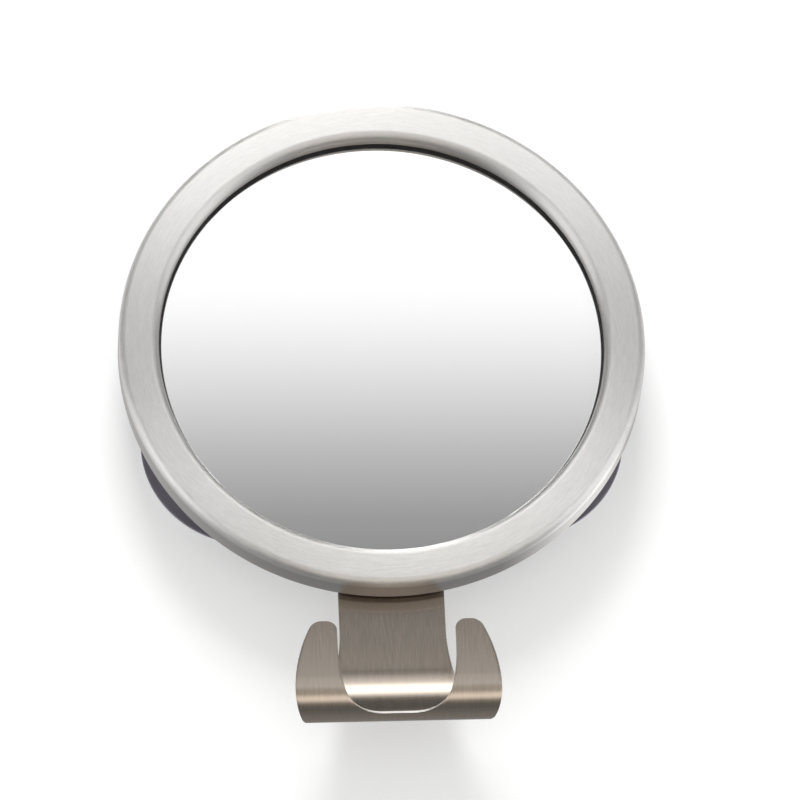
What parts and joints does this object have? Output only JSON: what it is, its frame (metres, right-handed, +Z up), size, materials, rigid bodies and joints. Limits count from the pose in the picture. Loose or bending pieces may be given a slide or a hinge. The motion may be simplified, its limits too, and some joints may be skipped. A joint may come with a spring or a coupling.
{
  "type": "fogless shower mirror",
  "caption": "Round wall mirror in a brushed steel frame, with suction cups behind and a razor hook below.",
  "frame": {"origin": "on the axis of the round frame, in the plane where the rims of the suction cups meet the wall", "axes": "+Y into the wall, so the mirror faces -Y; +Z up, away from the hook; +X to the right of the viewer"},
  "size_m": [0.15, 0.028, 0.19],
  "materials": {
    "frame_steel": "brushed round the ring",
    "hook_steel": "brushed along the strip",
    "mirror_silver": "polished",
    "clear_film": "clear",
    "seal_rubber": "matt",
    "foam_tape": "matt foam",
    "tray_plastic": "moulded",
    "cover_plastic": "fine spark texture",
    "screw_steel": "bright zinc",
    "cup_vinyl": "smooth, slightly see-through"
  },
  "bodies": {
    "mirror": {"ring_frame": "frame_steel", "mirror_seal": "seal_rubber", "antifog_film": "clear_film", "mirror_plate": "mirror_silver", "mirror_tape": "foam_tape", "mirror_tray": "tray_plastic", "back_cover": "cover_plastic", "cover_screws": "screw_steel", "razor_hook": "hook_steel", "hook_screws": "screw_steel"},
    "cup_top": {"suction_cup_top": "cup_vinyl"},
    "cup_left": {"suction_cup_left": "cup_vinyl"},
    "cup_right": {"suction_cup_right": "cup_vinyl"}
  },
  "joints": [
    {"name": "cup_top_turn", "type": "hinge", "parent": "mirror", "child": "cup_top", "pos_m": [0, 0, 0.0438], "axis": [0, 1, 0], "continuous": true},
    {"name": "cup_left_turn", "type": "hinge", "parent": "mirror", "child": "cup_left", "pos_m": [-0.03793, 0, -0.0219], "axis": [0, 1, 0], "continuous": true},
    {"name": "cup_right_turn", "type": "hinge", "parent": "mirror", "child": "cup_right", "pos_m": [0.03793, 0, -0.0219], "axis": [0, 1, 0], "continuous": true}
  ]
}
